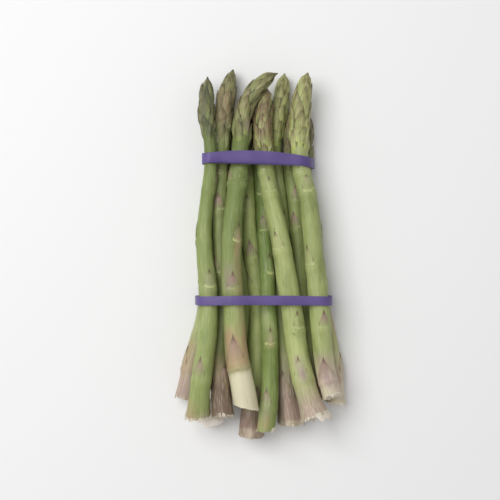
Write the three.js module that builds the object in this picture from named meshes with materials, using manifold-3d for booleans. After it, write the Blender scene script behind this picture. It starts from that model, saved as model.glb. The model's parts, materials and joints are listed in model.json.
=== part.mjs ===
// A bundle of green asparagus, lying down, held by two flat rubber bands.
// Millimetres. +Z is up, +Y runs towards the tips, +X is to the right seen from above.
// The origin is on the table, under the middle of the bundle.
// Each spear is one solid that grew in one piece: its stem with the leaf scales on it, and its head,
// whose scales overlap in rows. The spears lie on each other, clear of each other and of the bands.
import * as THREE from "three";
import { mergeVertices } from "three/addons/utils/BufferGeometryUtils.js";
import Module from "manifold-3d";

const wasm = await Module();
wasm.setup();

// Driving dimensions of the bands, and the air between them and the spears
// y, tilt, arch: a band crosses the bundle at y, turned by its tilt, its middle pulled up by its arch
// left, right: how far out the spears may lie under it
const bandThickness = 1.1;
const bandClearance = 0.7;
const spearsAboveTable = bandThickness + bandClearance;
const bands = [
  { name: "band_lower", width: 5.6, y: -28.7, tilt: 0, arch: 0.7, left: -39.3, right: 41.8 },
  { name: "band_upper", width: 6.2, y: 58.2, tilt: -2, arch: 2.6, left: -35.4, right: 28.8 },
];

// Driving dimensions of the leaf scales
const scalesPerRow = 6;
const headRows = 9;
const headStep = 0.13; // how far a head scale's edge stands over the scale above it, as a share of the radius
const stemScaleWidth = 7.4;
const stemScaleLength = 12.5;
const stemScaleLift = 0.75;

// The spears, from the lowest to those on top
// plan: points [x, y] on the middle of the stem from the cut butt to the tip, seen from above
// layer: how high it starts before the stack settles; hold: how firmly it keeps to its plan meanwhile
// radii: of the butt, of the stem's waist, of its neck under the head, and of the head
// flare: how far the butt's rim spreads; head: the head's length; blunt: from 2, slender, up to 7, blunt
// scales: the leaf scales on its stem, each [y of its foot, the way it faces, its size if it isn't 1],
// facing in degrees from straight up towards the right
// cut: how far the butt's cut slopes from square, and the way it faces, in degrees
const spears = [
  {
    name: "spear_01",
    plan: [
      [-49, -91.5], [-45.3, -72], [-34.2, -28], [-33, 7], [-31.2, 60],
      [-31.6, 88],
    ],
    layer: 0,
    hold: 0.45,
    radii: [6.0, 5.3, 3.9, 4.5],
    flare: 0.4,
    head: 36,
    blunt: 4,
    scales: [[-72, -70], [-50, 120], [-16, -100], [8, 30], [32, 170]],
    cut: [8, 90],
  },
  {
    name: "spear_02",
    plan: [
      [-33.5, -109.5], [-31, -90], [-25, -60], [-15, -28], [-15, 7],
      [-19, 60], [-19.5, 92],
    ],
    layer: 0,
    hold: 0.03,
    radii: [6.9, 5.5, 3.9, 4.5],
    flare: 0,
    head: 38,
    blunt: 4,
    scales: [[-90, 228], [-58, 7], [-14, 145], [6, 283], [32, 60]],
    cut: [20, -60],
  },
  {
    name: "spear_03",
    plan: [
      [29.5, -93], [28, -60], [24.4, -28], [21.2, 7], [20, 60],
      [19, 92],
    ],
    layer: 0,
    hold: 0.2,
    radii: [6.2, 5.2, 3.9, 4.5],
    flare: 0.5,
    head: 38,
    blunt: 4,
    scales: [[-75, 180], [-46, 318], [-14, 95], [15.7, -25], [33, 25]],
    cut: [10, 120],
  },
  {
    name: "spear_04",
    plan: [
      [44.8, -94], [44, -72], [36.1, -28], [32.4, 7], [26, 45],
      [22.4, 66], [24, 92],
    ],
    layer: 0,
    hold: 0.25,
    radii: [6.0, 5.3, 3.9, 4.5],
    flare: 0.4,
    head: 38,
    blunt: 4,
    scales: [[-76, 75], [-50, 215], [-14, -10], [12, 128], [35, 265]],
    cut: [12, 60],
  },
  {
    name: "spear_05",
    plan: [
      [18, -107.5], [14, -72], [10.8, -28], [12, 7], [11.2, 60],
      [11.9, 90], [13.6, 113.6],
    ],
    layer: 0,
    hold: 0.2,
    radii: [7.6, 5.7, 4.3, 5.2],
    flare: 0.6,
    head: 46,
    blunt: 4.5,
    scales: [[-86, -20], [-50, 118], [-14, 255], [16, 32], [40, 170]],
    cut: [16, 20],
  },
  {
    name: "spear_06",
    plan: [
      [-24.8, -102], [-25.5, -72], [-25, -28], [-27.3, 7], [-26, 60],
      [-25, 85], [-22.5, 101], [-18.8, 116],
    ],
    layer: 1,
    hold: 0.3,
    radii: [6.4, 5.2, 4.5, 6.1],
    flare: 0.6,
    head: 48,
    blunt: 3.7,
    scales: [[-81, 35], [-50, 172], [-12, 310], [12, 88], [27, -15], [42, 225]],
    cut: [10, 180],
  },
  {
    name: "spear_07",
    plan: [
      [-7.1, -115], [-5.2, -72], [-6.5, -28], [-9.2, 7], [-9.6, 50],
      [-10.5, 75], [-11, 99],
    ],
    layer: 0.6,
    hold: 0.5,
    radii: [7.8, 5.3, 3.9, 4.4],
    flare: 0.3,
    head: 40,
    blunt: 4,
    scales: [[-94, 15], [-58, 152], [-20, 290], [-3, -5], [26.6, 0], [48, 12]],
    cut: [14, 0],
  },
  {
    name: "spear_08",
    plan: [
      [0.8, -110.5], [4.9, -80], [4.6, -40], [0, 7], [-3, 50],
      [-4.2, 75], [-5, 102],
    ],
    layer: 1.2,
    hold: 0.3,
    radii: [5.9, 5.0, 3.8, 4.3],
    flare: 0,
    head: 42,
    blunt: 4,
    scales: [[-95, -22], [-56.5, 5], [-13.5, 20], [13, -10], [24, 170], [37, -15]],
    cut: [26, -30],
  },
  {
    name: "spear_09",
    plan: [
      [-40, -100], [-35.9, -72], [-33.8, -28], [-35, 7], [-33.4, 60],
      [-35, 92], [-34.6, 110.5],
    ],
    layer: 2,
    hold: 0.6,
    radii: [6.6, 5.9, 3.5, 4.9],
    flare: 0.8,
    head: 37,
    blunt: 3.2,
    scales: [[-77, -22], [-50, 178], [-21, 20], [8, 250], [40, 100]],
    cut: [12, -60],
  },
  {
    name: "spear_10",
    plan: [
      [43, -89.5], [38.7, -72], [34.6, -28], [31.2, 7], [27.2, 45],
      [23.3, 66], [23.2, 90], [27.8, 112.8],
    ],
    layer: 2,
    hold: 0.6,
    radii: [6.2, 6.3, 5.4, 6.2],
    flare: 0,
    head: 47,
    blunt: 4.5,
    scales: [[-78, -5, 1.25], [-46, 22], [-20, 120], [-7.6, -42, 1.1], [20, 150], [38, 20]],
    cut: [14, 180],
  },
  {
    name: "spear_11",
    plan: [
      [32.9, -103], [23.5, -72], [16.1, -28], [11.3, 7], [2.5, 50],
      [0.6, 72], [0.4, 92], [2.2, 103.6],
    ],
    layer: 2,
    hold: 0.6,
    radii: [7.4, 6.6, 5.2, 5.9],
    flare: 1.4,
    head: 45,
    blunt: 5,
    scales: [[-77, -6, 1.15], [-47, 25], [-16, 170], [2.3, -25], [20, 200], [37, 10]],
    cut: [14, 200],
  },
  {
    name: "spear_12",
    plan: [
      [-10.9, -96.5], [-15.4, -72], [-19.3, -28], [-20.1, 7], [-17.6, 45],
      [-14.6, 66], [-12.4, 87], [-9, 97.5], [-2.6, 105.6], [8.8, 112],
    ],
    layer: 2.4,
    hold: 0.6,
    radii: [7.6, 6.6, 5.4, 5.3],
    flare: 0,
    head: 50,
    blunt: 4.5,
    scales: [[-69.5, -10, 1.5], [-46, 175], [-21.5, 5], [7.5, 38], [28, 190], [44, -85], [44, 85]],
    cut: [24, 70],
  },
];

const radians = THREE.MathUtils.degToRad;
const { lerp, smoothstep } = THREE.MathUtils;

// A spear's radius, along it from 0 at the butt to 1 at the tip; the head is the last headShare of it
const waistAt = 0.4;
const bulgeAt = 0.35;
const flareShare = 0.05;
function radiusAt(spear, share) {
  const [butt, waist, neck, bulge] = spear.radii;
  const stemShare = 1 - spear.headShare;
  if (share < waistAt * stemShare) {
    const flare = spear.flare * Math.max(1 - share / flareShare, 0) ** 2;
    return lerp(butt, waist, smoothstep(share / waistAt / stemShare, 0, 1)) + flare;
  }
  if (share < stemShare) {
    return lerp(waist, neck, (share / stemShare - waistAt) / (1 - waistAt));
  }
  const up = (share - stemShare) / spear.headShare;
  if (up < bulgeAt) {
    return lerp(neck, bulge, smoothstep(up / bulgeAt, 0, 1));
  }
  return bulge * (1 - ((up - bulgeAt) / (1 - bulgeAt)) ** spear.blunt);
}

// Where a band's middle line runs, seen from above
function bandLine(band, x) {
  const [middle, half] = [(band.left + band.right) / 2, (band.right - band.left) / 2];
  const arch = band.arch * Math.max(1 - ((x - middle) / half) ** 2, 0);
  return band.y + x * Math.tan(radians(band.tilt)) + arch;
}

// How the stack settles. Each spear is a row of discs across its axis, which sink, keep their row
// straight, are drawn in by the bands, and push the discs of other spears out of their own room.
const discSpacing = 4;
const layerHeight = 13;
const settleSteps = 2400;
const sink = { held: 0.12, butts: 0.04, heads: 0.007 };
const heldFrom = -60;
const heldTo = 66;
const squeeze = 0.18;
const squeezeReach = 9;
const spearRoom = 1.35; // air that the stack keeps between two spears, for the leaf scales to stand in
const near = 16;
const followsPlan = 0.25;
const stiffness = { line: 0.35, bow: 0.4, sideways: 0.5 };
const pushShare = 0.3;
const longestPush = 2;
const pushRounds = 3;
const discsPerPoint = 4; // one disc in this many stays as a point of the spear's curve
function discsOf(spear) {
  const plan = new THREE.CatmullRomCurve3(spear.plan.map(([x, y]) => new THREE.Vector3(x, y, 0)));
  spear.headShare = spear.head / plan.getLength();
  const count = Math.round(plan.getLength() / discSpacing);
  return plan.getSpacedPoints(count).map(({ x, y }, i) => {
    const radius = radiusAt(spear, i / count);
    const lowest = spearsAboveTable + Math.max(radius, spear.radii[2]);
    return { x, y, z: lowest + spear.layer * layerHeight, wanted: x, radius, lowest, spear };
  });
}

function sinkAndSqueeze(disc) {
  if (disc.y < heldFrom) {
    disc.z -= sink.butts;
  } else {
    disc.z -= disc.y > heldTo ? sink.heads : sink.held;
  }
  disc.x += (disc.wanted - disc.x) * disc.spear.hold * followsPlan;
  for (const band of bands) {
    if (Math.abs(disc.y - band.y) < squeezeReach) {
      disc.x = THREE.MathUtils.clamp(disc.x, band.left + disc.radius, band.right - disc.radius);
      disc.z -= squeeze;
    }
  }
}

function straighten(row) {
  const last = row.length - 1;
  const heights = row.map((disc) => disc.z);
  const shifts = row.map((disc) => disc.x - disc.wanted);
  row.forEach((disc, i) => {
    const inner = THREE.MathUtils.clamp(i, 1, last - 1);
    const [before, after] = [heights[inner - 1], heights[inner + 1]];
    const line = (before + after + (i - inner) * (after - before)) / 2;
    disc.z += stiffness.line * (line - heights[i]);
    if (i > 1 && i < last - 1) {
      const bow = (4 * (heights[i - 1] + heights[i + 1]) - heights[i - 2] - heights[i + 2]) / 6;
      disc.z += stiffness.bow * (bow - heights[i]);
    }
    if (i > 0 && i < last) {
      disc.x += stiffness.sideways * ((shifts[i - 1] + shifts[i + 1]) / 2 - shifts[i]);
    }
  });
}

function pushApart([a, b]) {
  const [dx, dy, dz] = [a.x - b.x, a.y - b.y, a.z - b.z];
  const across = Math.max(Math.sqrt(dx * dx + dz * dz), 0.001);
  const distance = Math.sqrt(across * across + dy * dy);
  const overlap = a.radius + b.radius + spearRoom - distance;
  if (overlap > 0) {
    const push = (Math.min((overlap * distance) / across, longestPush) * pushShare) / across;
    a.x += dx * push;
    a.z += dz * push;
    b.x -= dx * push;
    b.z -= dz * push;
  }
}

function settle() {
  const rows = spears.map(discsOf);
  const discs = rows.flat();
  const pairs = discs.flatMap((a, i) =>
    discs.slice(i + 1).filter((b) => a.spear !== b.spear && Math.abs(a.y - b.y) < near).map((b) => [a, b]),
  );
  for (let step = 0; step < settleSteps; step += 1) {
    discs.forEach(sinkAndSqueeze);
    rows.forEach(straighten);
    for (let round = 0; round < pushRounds; round += 1) {
      pairs.forEach(pushApart);
      for (const disc of discs) {
        disc.z = Math.max(disc.z, disc.lowest);
      }
    }
  }
  for (const row of rows) {
    const { spear } = row[0];
    const kept = row.filter((disc, i) => i % discsPerPoint === 0 && i < row.length - 3);
    kept.push(row[row.length - 1]);
    spear.curve = new THREE.CatmullRomCurve3(kept.map(({ x, y, z }) => new THREE.Vector3(x, y, z)));
    spear.length = spear.curve.getLength();
    spear.headShare = spear.head / spear.length;
  }
}

// A point on a spear: along it in millimetres, at an angle from straight up towards the right, at a radius
const up = new THREE.Vector3(0, 0, 1);
function pointOn(spear, along, angle, radius) {
  const share = THREE.MathUtils.clamp(along / spear.length, 0, 1);
  const forward = spear.curve.getTangentAt(share);
  const side = forward.clone().cross(up).normalize();
  const top = side.clone().cross(forward);
  return spear.curve
    .getPointAt(share)
    .addScaledVector(side, radius * Math.sin(angle))
    .addScaledVector(top, radius * Math.cos(angle));
}

// How far along a spear it reaches a y
const steps = 400;
function alongAt(spear, y) {
  for (let i = 0; i <= steps; i += 1) {
    if (spear.curve.getPointAt(i / steps).y > y) {
      return (i / steps) * spear.length;
    }
  }
  throw new Error(`${spear.name} ends short of ${y}`);
}

// A closed mesh as a solid
function solidOf(points, triangles) {
  const mesh = new wasm.Mesh({
    numProp: 3,
    vertProperties: new Float32Array(points.flatMap((p) => [p.x, p.y, p.z])),
    triVerts: new Uint32Array(triangles.flat()),
  });
  return new wasm.Manifold(mesh);
}

// The stem and head: rings of corners from the cut butt to the tip. In the head, each row of scales
// ends in a ring that zigzags between the scales' tips and the notches beside them, and steps in there
// to the ring where the next row comes out.
const corners = 2 * scalesPerRow;
const stemRings = 12;
const zigzag = 0.45; // a scale's tip or notch from its row's middle, as a share of the row's height
const keel = 0.15; // a scale's tip stands out by this, and the notch lies in by twice as much
const cutHollow = 0.6;
function coreOf(spear) {
  const headLength = spear.length * spear.headShare;
  const stemLength = spear.length - headLength;
  const rowEnd = (row) => stemLength + headLength * (1 - (1 - row / headRows) ** 1.5);
  const rings = [];
  const [slope, faces] = spear.cut.map(radians);
  for (let i = 0; i <= stemRings; i += 1) {
    const along = (stemLength * i) / (stemRings + 0.6);
    const slant = i === 0 ? Math.tan(slope) * spear.radii[0] : 0;
    rings.push({
      along: (angle) => along + slant * (1 - Math.cos(angle - faces)),
      radius: () => radiusAt(spear, along / spear.length),
    });
  }
  for (let row = 1; row < headRows; row += 1) {
    const middle = rowEnd(row - 0.5);
    const height = rowEnd(row) - rowEnd(row - 1);
    const atTip = (corner) => (corner + row) % 2 === 0;
    const along = (angle, corner) => middle + (atTip(corner) ? zigzag : -zigzag) * height;
    const outside = (corner) => radiusAt(spear, middle / spear.length) + (atTip(corner) ? keel : -2 * keel);
    rings.push({ along, radius: outside, atTip });
    const inside = (corner) => outside(corner) * (1 - headStep) * (atTip(corner) ? 0.97 : 1);
    rings.push({ along, radius: inside, step: true });
  }
  const points = rings.flatMap((ring) =>
    Array.from({ length: corners }, (_, corner) => {
      const angle = (2 * Math.PI * corner) / corners;
      return pointOn(spear, ring.along(angle, corner), angle, ring.radius(corner));
    }),
  );
  const butt = points.push(pointOn(spear, cutHollow + Math.tan(slope) * spear.radii[0], 0, 0)) - 1;
  const tip = points.push(pointOn(spear, spear.length, 0, 0)) - 1;
  const triangles = [];
  const last = (rings.length - 1) * corners;
  for (let corner = 0; corner < corners; corner += 1) {
    const next = (corner + 1) % corners;
    triangles.push([butt, next, corner]);
    triangles.push([last + corner, last + next, tip]);
    for (let i = 0; i < rings.length - 1; i += 1) {
      const [a, b] = [i * corners + corner, i * corners + next];
      const [d, c] = [a + corners, b + corners];
      const upper = rings[i + 1];
      if (upper.atTip && upper.atTip(next)) {
        triangles.push([a, b, d], [b, c, d]);
      } else {
        triangles.push([a, b, c], [a, c, d]);
      }
    }
  }
  return solidOf(points, triangles);
}

// A leaf scale on the stem: a pointed shield that lies along the stem, its foot sunk into it.
// outline: how wide and how proud the shield is, from its foot up to its point
const outline = [
  { up: 0, wide: 1, proud: [0.4, 1, 1, 0.4] },
  { up: 0.45, wide: 0.8, proud: [0.55, 0.9, 0.9, 0.55] },
];
const proudPoint = 0.7;
const across = [-1, -0.34, 0.34, 1];
const sunk = 1.2;
function leafScale(spear, [y, turned, size = 1]) {
  const along = alongAt(spear, y);
  const faces = radians(turned);
  const stem = radiusAt(spear, along / spear.length);
  const half = (size * stemScaleWidth) / 2 / stem;
  const long = size * stemScaleLength;
  const layer = (proud) => [
    ...outline.flatMap((row) =>
      across.map((k, i) => {
        const up = along + row.up * long;
        return pointOn(spear, up, faces + k * row.wide * half, stem + proud(row.proud[i]));
      }),
    ),
    pointOn(spear, along + long, faces, stem + proud(proudPoint)),
  ];
  const points = [...layer((share) => share * stemScaleLift), ...layer(() => -sunk)];
  const face = [];
  for (let i = 0; i < 3; i += 1) {
    face.push([i, i + 1, i + 5], [i, i + 5, i + 4], [i + 4, i + 5, 8]);
  }
  const under = face.map(([a, b, c]) => [a + 9, c + 9, b + 9]);
  const rim = [0, 1, 2, 3, 7, 8, 4];
  const walls = rim.flatMap((a, i) => {
    const b = rim[(i + 1) % rim.length];
    return [[a, a + 9, b + 9], [a, b + 9, b]];
  });
  return solidOf(points, [...face, ...under, ...walls]);
}

const skin = { roughness: 0.55, metalness: 0 };
const green = new THREE.Color(0.42, 0.52, 0.2);
const pale = new THREE.Color(0.62, 0.66, 0.38);
function makeSpear(spear, index) {
  let solid = coreOf(spear);
  for (const scale of spear.scales) {
    solid = solid.add(leafScale(spear, scale));
  }
  const made = solid.getMesh();
  const butt = spear.curve.getPoint(0);
  const geometry = new THREE.BufferGeometry();
  geometry.setAttribute("position", new THREE.BufferAttribute(made.vertProperties, 3));
  geometry.setIndex(new THREE.BufferAttribute(made.triVerts, 1));
  geometry.translate(-butt.x, -butt.y, -butt.z);
  geometry.computeVertexNormals();
  const color = green.clone().lerp(pale, (index % 4) / 4);
  const mesh = new THREE.Mesh(geometry, new THREE.MeshStandardMaterial({ color, ...skin }));
  mesh.name = spear.name;
  mesh.position.copy(butt);
  return mesh;
}

// The section of a spear where it passes under a band
function sectionAt(spear, band, offset) {
  for (let i = 0; i <= steps; i += 1) {
    const { x, y, z } = spear.curve.getPointAt(i / steps);
    if (y - offset > bandLine(band, x)) {
      return { x, z, radius: radiusAt(spear, i / steps) };
    }
  }
  throw new Error(`${spear.name} ends short of ${band.name}`);
}

// The convex hull of points in a plane, anticlockwise
function hullOf(points) {
  const sorted = [...points].sort((a, b) => a.x - b.x || a.z - b.z);
  const chain = (list) => {
    const kept = [];
    for (const p of list) {
      while (kept.length > 1) {
        const [a, b] = kept.slice(-2);
        if ((b.x - a.x) * (p.z - a.z) - (b.z - a.z) * (p.x - a.x) > 1e-6) break;
        kept.pop();
      }
      kept.push(p);
    }
    return kept.slice(0, -1);
  };
  return [...chain(sorted), ...chain(sorted.reverse())];
}

// The loop with corners on its straight runs too, so that the band can arch there
const bandStep = 5;
function withMoreCorners(loop) {
  return loop.flatMap((p, i) => {
    const q = loop[(i + 1) % loop.length];
    const count = Math.ceil(Math.hypot(q.x - p.x, q.z - p.z) / bandStep);
    return Array.from({ length: count }, (_, k) => ({
      x: lerp(p.x, q.x, k / count),
      z: lerp(p.z, q.z, k / count),
      outer: [lerp(p.outer[0], q.outer[0], k / count), lerp(p.outer[1], q.outer[1], k / count)],
    }));
  });
}

// A rubber band: stretched round the spears, and flat where it lies on the table
const discSides = 24;
const sectionsUnder = [-0.75, -0.4, 0, 0.4, 0.75]; // where the spears are cut, in widths of the band
const flatWithin = 1.2; // a spear this near to the table's clearance presses the band flat on the table
function makeBand(band) {
  const sections = spears.flatMap((spear) => {
    return sectionsUnder.map((k) => sectionAt(spear, band, k * band.width));
  });
  const rim = sections.flatMap(({ x, z, radius }) => {
    const low = z - radius - spearsAboveTable < flatWithin ? spearsAboveTable + radius : z;
    return Array.from({ length: discSides }, (_, i) => {
      const angle = (2 * Math.PI * i) / discSides;
      const at = (r) => [x + r * Math.sin(angle), low - r * Math.cos(angle)];
      const [inner, outer] = [at(radius + bandClearance), at(radius + bandClearance + bandThickness)];
      return { x: inner[0], z: inner[1], outer };
    });
  });
  const loop = withMoreCorners(hullOf(rim));
  const shape = new THREE.Shape(loop.map(({ outer }) => new THREE.Vector2(...outer)));
  shape.holes.push(new THREE.Path(loop.map(({ x, z }) => new THREE.Vector2(x, z))));
  const geometry = new THREE.ExtrudeGeometry(shape, { depth: band.width, bevelEnabled: false });
  geometry.translate(0, 0, -band.width / 2);
  geometry.rotateX(Math.PI / 2);
  const places = geometry.getAttribute("position");
  for (let i = 0; i < places.count; i += 1) {
    places.setY(i, places.getY(i) + bandLine(band, places.getX(i)) - band.y);
  }
  const rubber = new THREE.MeshStandardMaterial({ color: 0x6d5aa6, roughness: 0.6, metalness: 0 });
  geometry.deleteAttribute("uv").deleteAttribute("normal");
  const mesh = new THREE.Mesh(mergeVertices(geometry), rubber);
  mesh.name = band.name;
  mesh.position.set(0, band.y, 0);
  return mesh;
}

settle();
const stalks = new THREE.Group();
stalks.add(...spears.map(makeSpear));
const ties = new THREE.Group();
ties.add(...bands.map(makeBand));

// The stack is moved so that the origin is under the middle of the whole bundle
const stack = new THREE.Group();
stack.add(stalks, ties);
const middle = new THREE.Box3().setFromObject(stack).getCenter(new THREE.Vector3());
stack.position.set(-middle.x, -middle.y, 0);

const bundle = new THREE.Group();
bundle.add(stack);

export default bundle;
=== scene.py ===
import json
import math

import bpy
import numpy as np
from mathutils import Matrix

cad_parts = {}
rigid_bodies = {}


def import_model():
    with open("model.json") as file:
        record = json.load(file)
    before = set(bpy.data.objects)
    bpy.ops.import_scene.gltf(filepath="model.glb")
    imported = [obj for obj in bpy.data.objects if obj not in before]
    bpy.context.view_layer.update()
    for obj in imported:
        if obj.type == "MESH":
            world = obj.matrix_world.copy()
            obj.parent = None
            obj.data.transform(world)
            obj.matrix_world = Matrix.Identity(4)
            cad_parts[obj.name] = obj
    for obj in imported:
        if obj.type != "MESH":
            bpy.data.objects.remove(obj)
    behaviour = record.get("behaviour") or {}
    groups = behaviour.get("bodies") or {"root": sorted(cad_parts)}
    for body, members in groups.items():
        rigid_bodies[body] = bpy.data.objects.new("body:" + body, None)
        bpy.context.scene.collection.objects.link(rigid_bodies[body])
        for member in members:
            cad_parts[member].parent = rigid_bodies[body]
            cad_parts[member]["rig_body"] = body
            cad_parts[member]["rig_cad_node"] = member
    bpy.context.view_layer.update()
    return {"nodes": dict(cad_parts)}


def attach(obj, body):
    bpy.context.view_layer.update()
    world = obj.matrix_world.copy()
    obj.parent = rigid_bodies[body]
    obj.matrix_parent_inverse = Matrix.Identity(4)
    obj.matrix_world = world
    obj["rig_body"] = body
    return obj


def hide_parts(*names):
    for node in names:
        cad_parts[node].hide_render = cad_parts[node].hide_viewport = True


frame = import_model()
mm = 0.001
rng = np.random.default_rng(12)


def deselectAll():
    if bpy.context.object and bpy.context.object.mode != "OBJECT":
        bpy.ops.object.mode_set(mode="OBJECT")
    bpy.ops.object.select_all(action="DESELECT")


def pick(obj):
    deselectAll()
    obj.select_set(True)
    bpy.context.view_layer.objects.active = obj


def applyModifier(obj, kind, **settings):
    pick(obj)
    modifier = obj.modifiers.new(kind.title(), kind)
    for name, value in settings.items():
        setattr(modifier, name, value)
    bpy.ops.object.modifier_apply(modifier=modifier.name)


def pointsOf(mesh):
    co = np.empty(len(mesh.vertices) * 3)
    mesh.vertices.foreach_get("co", co)
    return co.reshape(-1, 3)


def setPoints(mesh, co):
    mesh.vertices.foreach_set("co", co.astype(np.float32).ravel())
    mesh.update()


def selectVertices(obj, mask):
    # object mode in, edit mode out
    bpy.ops.object.mode_set(mode="EDIT")
    bpy.ops.mesh.select_mode(type="VERT")
    bpy.ops.mesh.select_all(action="DESELECT")
    bpy.ops.object.mode_set(mode="OBJECT")
    obj.data.vertices.foreach_set("select", mask)
    bpy.ops.object.mode_set(mode="EDIT")


def turnedFrom(angle, faces):
    # how far round the spear an angle is from the way that something faces, given in degrees
    return np.angle(np.exp(1j * (angle - math.radians(faces))))


def smoothStep(t):
    t = np.clip(t, 0, 1)
    return t * t * (3 - 2 * t)


def writeAttribute(mesh, name, values):
    layer = mesh.attributes.new(name, "FLOAT_VECTOR", "POINT")
    layer.data.foreach_set("vector", values.astype(np.float32).ravel())


# the axis and the thickness of a spear, read from its CAD node

axisReading = {
    "stations": 56,
    "buttMargin": 9 * mm,  # the first station stands clear of the slanted cut
    "tipMargin": 2.5 * mm,
    "reach": 9 * mm,  # the corners about this near give the first guess at a section's centre
    "near": 14 * mm,  # what a plane cuts further out belongs to another stretch of the spear
    "leastEdges": 6,
    "passes": 2,
    "smoothings": 2,
    "buttReach": 30 * mm,  # how far from the first station the butt's corners are looked for
    "tipRadius": 0.05 * mm,
    "pathPoints": 180,
    "pathSmoothings": 8,
}


def relax(points, rounds):
    # all but the two ends move towards their neighbours
    for _ in range(rounds):
        points[1:-1] = (points[:-2] + 2 * points[1:-1] + points[2:]) / 4


def lengthsAlong(points):
    return np.r_[0, np.cumsum(np.linalg.norm(np.diff(points, axis=0), axis=1))]


def sectionThrough(corners, centre, normal):
    # centre and radius of the outline where a plane cuts a node's loose triangles
    side = (corners - centre) @ normal
    crossing = (side.min(1) < 0) & (side.max(1) > 0)
    cut, side = corners[crossing], side[crossing]
    ends = []
    for a, b in ((0, 1), (1, 2), (2, 0)):
        crosses = side[:, a] * side[:, b] < 0
        share = side[:, a] / np.where(crosses, side[:, a] - side[:, b], 1)
        ends.append((crosses[:, None], cut[:, a] + (cut[:, b] - cut[:, a]) * share[:, None]))
    first = np.where(ends[0][0], ends[0][1], ends[1][1])
    second = np.where(ends[2][0], ends[2][1], ends[1][1])
    near = np.linalg.norm((first + second) / 2 - centre, axis=1) < axisReading["near"]
    first, second = first[near], second[near]
    if len(first) < axisReading["leastEdges"]:
        return None
    area = np.abs(np.cross(first - centre, second - centre) @ normal) / 2
    middle = ((first + second + centre) / 3 * area[:, None]).sum(0) / area.sum()
    return middle, math.sqrt(area.sum() / math.pi)


def readSpear(node):
    mesh = frame["nodes"][node].data
    mesh.calc_loop_triangles()
    corners = pointsOf(mesh)[np.array([t.vertices for t in mesh.loop_triangles])]
    flat = corners.reshape(-1, 3)
    low = flat[:, 1].min() + axisReading["buttMargin"]
    high = flat[:, 1].max() - axisReading["tipMargin"]
    centres = []
    for y in np.linspace(low, high, axisReading["stations"]):
        weight = np.exp(-(((flat[:, 1] - y) / axisReading["reach"]) ** 2)) + 1e-12
        close = (flat * weight[:, None]).sum(0) / weight.sum()
        guess = np.array([close[0], y, close[2]])
        found = sectionThrough(corners, guess, np.array([0.0, 1.0, 0.0]))
        if found:
            centres.append(found[0])
    centres = np.array(centres)
    for _ in range(axisReading["passes"]):
        tangents = np.gradient(centres, axis=0)
        tangents /= np.linalg.norm(tangents, axis=1)[:, None]
        sections = [sectionThrough(corners, c, t) for c, t in zip(centres, tangents)]
        sections = [section for section in sections if section]
        centres = np.array([section[0] for section in sections])
        radii = [section[1] for section in sections]
        relax(centres, axisReading["smoothings"])
    start = centres[0] - centres[2]
    start /= np.linalg.norm(start)
    butt = flat[np.linalg.norm(flat - centres[0], axis=1) < axisReading["buttReach"]]
    centres = np.vstack([centres[0] + start * ((butt - centres[0]) @ start).max(), centres])
    end = centres[-1] - centres[-2]
    centres = np.vstack([centres, flat[((flat - centres[-1]) @ end).argmax()]])
    along = lengthsAlong(centres)
    even = np.linspace(0, along[-1], axisReading["pathPoints"])
    path = np.stack([np.interp(even, along, centres[:, i]) for i in range(3)], axis=1)
    relax(path, axisReading["pathSmoothings"])
    places = along / along[-1]
    along = lengthsAlong(path)
    return {
        "path": path,
        "along": along,
        "length": along[-1],
        "radiusAlong": places * along[-1],
        "radii": np.array([radii[0], *radii, axisReading["tipRadius"]]),
    }


def radiusAt(axis, along):
    return np.interp(along, axis["radiusAlong"], axis["radii"])


# the stem: a tube with many rings, thinner inside the head, cut at a slant at its butt

stemForm = {
    "sides": 40,
    "rings": 150,
    "fullness": 1.012,  # the CAD stem has twelve sides, so its corners stand a little further out
    "headFullness": 1.05,
    "headCore": 0.83,
    "headFade": 12 * mm,
    "flutes": 9,
    "fluteTwist": 9,  # radians a metre
    "fluteDepth": 0.06 * mm,
    "waves": (61, 143),  # radians a metre
    "unevenness": 0.16 * mm,
    "knot": 0.65 * mm,  # how far the stem swells under a leaf's foot
    "knotDrop": 0.8 * mm,  # it is fullest this far below the foot
    "knotLength": 2.2 * mm,
    "press": 0.5 * mm,  # how far a stem fills out towards a neighbour that it presses against
    "pressFade": 6 * mm,
    "pressSpread": 0.6,  # radians
    "flareLength": 10 * mm,
    "rounding": 0.75,
    "rimLevel": 0.01 * mm,
    "ragged": 0.6,
    "cutRings": (0.93, 0.86, 0.75, 0.7),
    "cutHollow": 0.5 * mm,
    "cutFade": 14 * mm,  # above this the rings stand square to the stem again
}


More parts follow.
